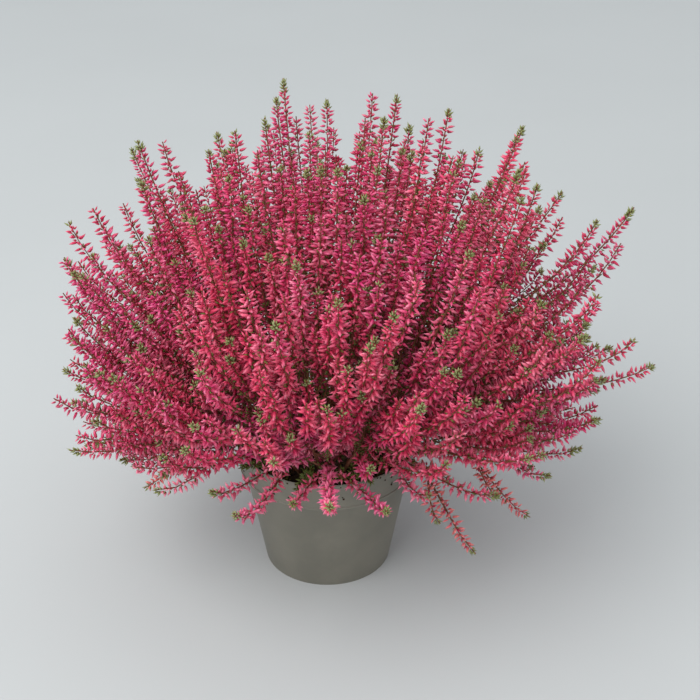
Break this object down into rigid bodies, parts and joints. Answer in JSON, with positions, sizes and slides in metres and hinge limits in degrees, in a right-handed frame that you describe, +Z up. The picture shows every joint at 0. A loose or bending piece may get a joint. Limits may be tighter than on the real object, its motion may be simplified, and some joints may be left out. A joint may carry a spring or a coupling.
{
  "type": "potted heather",
  "caption": "Heather plant in a tapered plastic pot: upright and arching flower sprays, low trailing shoots and leafy shoots standing in soil.",
  "frame": {"origin": "middle of the pot's base, on the surface that it stands on", "axes": "+Z up along the pot's axis, -Y towards the front, where the plant is lowest and the pot's rim shows, +X to the right"},
  "size_m": [0.3462, 0.3393, 0.2841],
  "materials": {
    "flowers": "matt petals, deep pink with paler edges, on thin brown stems",
    "faded_flowers": "matt petals, salmon and pale green",
    "foliage": "satin green needle leaves",
    "soil": "moist dark peat, crumbly",
    "pot": "satin moulded plastic, grey-brown, dusted with soil"
  },
  "bodies": {
    "root": {"flower_spray_01": "flowers", "flower_spray_02": "flowers", "flower_spray_03": "flowers", "flower_spray_04": "flowers", "flower_spray_05": "flowers", "flower_spray_06": "flowers", "flower_spray_07": "flowers", "flower_spray_08": "flowers", "flower_spray_09": "flowers", "flower_spray_10": "flowers", "flower_spray_11": "flowers", "flower_spray_12": "flowers", "flower_spray_13": "flowers", "flower_spray_14": "flowers", "flower_spray_15": "flowers", "flower_spray_16": "flowers", "flower_spray_17": "flowers", "flower_spray_18": "flowers", "flower_spray_19": "flowers", "flower_spray_20": "flowers", "flower_spray_21": "flowers", "flower_spray_22": "flowers", "flower_spray_23": "flowers", "flower_spray_24": "flowers", "flower_spray_25": "flowers", "flower_spray_26": "flowers", "flower_spray_27": "flowers", "flower_spray_28": "flowers", "flower_spray_29": "flowers", "flower_spray_30": "flowers", "flower_spray_31": "flowers", "flower_spray_32": "flowers", "flower_spray_33": "flowers", "flower_spray_34": "flowers", "flower_spray_35": "flowers", "flower_spray_36": "flowers", "flower_spray_37": "flowers", "flower_spray_38": "flowers", "trailing_shoot_01": "faded_flowers", "trailing_shoot_02": "faded_flowers", "trailing_shoot_03": "faded_flowers", "leafy_shoot_01": "foliage", "leafy_shoot_02": "foliage", "leafy_shoot_03": "foliage", "leafy_shoot_04": "foliage", "leafy_shoot_05": "foliage", "leafy_shoot_06": "foliage", "leafy_shoot_07": "foliage", "leafy_shoot_08": "foliage", "leafy_shoot_09": "foliage", "leafy_shoot_10": "foliage", "leafy_shoot_11": "foliage", "leafy_shoot_12": "foliage", "leafy_shoot_13": "foliage", "soil": "soil", "pot": "pot"}
  },
  "joints": []
}
